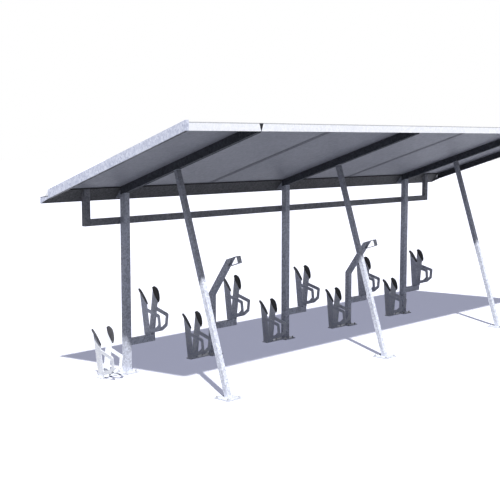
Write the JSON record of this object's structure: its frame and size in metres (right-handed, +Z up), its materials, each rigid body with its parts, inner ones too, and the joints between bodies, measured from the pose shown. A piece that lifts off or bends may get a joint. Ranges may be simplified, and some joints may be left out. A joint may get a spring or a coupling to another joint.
{
  "type": "bike shelter",
  "caption": "Open galvanised steel bike shelter: sloping roof on rear posts and leaning front struts, with raised and low wheel holders under it.",
  "frame": {"origin": "on the ground, at the foot of the middle post, on the centre line of the posts", "axes": "+Z up, X along the shelter, -Y towards the open high side where the bicycles enter"},
  "size_m": [6.84, 2.105, 2.6038],
  "materials": {
    "galvanised_steel": "hot-dip galvanised tube and plate, dull with a faint spangle",
    "galvanised_sheet": "hot-dip galvanised folded sheet, dull with a faint spangle"
  },
  "bodies": {
    "root": {"post_left": "galvanised_steel", "rafter_left": "galvanised_steel", "strut_left": "galvanised_steel", "post_middle": "galvanised_steel", "rafter_middle": "galvanised_steel", "strut_middle": "galvanised_steel", "post_right": "galvanised_steel", "rafter_right": "galvanised_steel", "strut_right": "galvanised_steel", "bent_post_left": "galvanised_steel", "lock_loop_left": "galvanised_steel", "bent_post_right": "galvanised_steel", "lock_loop_right": "galvanised_steel", "arm_1": "galvanised_steel", "floor_strip_1": "galvanised_steel", "wheel_holder_high_1": "galvanised_steel", "wheel_holder_low_1": "galvanised_steel", "arm_2": "galvanised_steel", "floor_strip_2": "galvanised_steel", "wheel_holder_high_2": "galvanised_steel", "wheel_holder_low_2": "galvanised_steel", "arm_3": "galvanised_steel", "floor_strip_3": "galvanised_steel", "wheel_holder_high_3": "galvanised_steel", "wheel_holder_low_3": "galvanised_steel", "arm_4": "galvanised_steel", "floor_strip_4": "galvanised_steel", "wheel_holder_high_4": "galvanised_steel", "wheel_holder_low_4": "galvanised_steel", "arm_5": "galvanised_steel", "floor_strip_5": "galvanised_steel", "wheel_holder_high_5": "galvanised_steel", "wheel_holder_low_5": "galvanised_steel", "gable_left": "galvanised_sheet", "gable_right": "galvanised_sheet", "front_edge_short": "galvanised_sheet", "front_edge_long": "galvanised_sheet", "splice_plate": "galvanised_sheet", "gutter": "galvanised_sheet", "rear_rail": "galvanised_steel", "roof_panel_left": "galvanised_sheet", "roof_panel_middle": "galvanised_sheet", "roof_panel_right": "galvanised_sheet"}
  },
  "joints": []
}
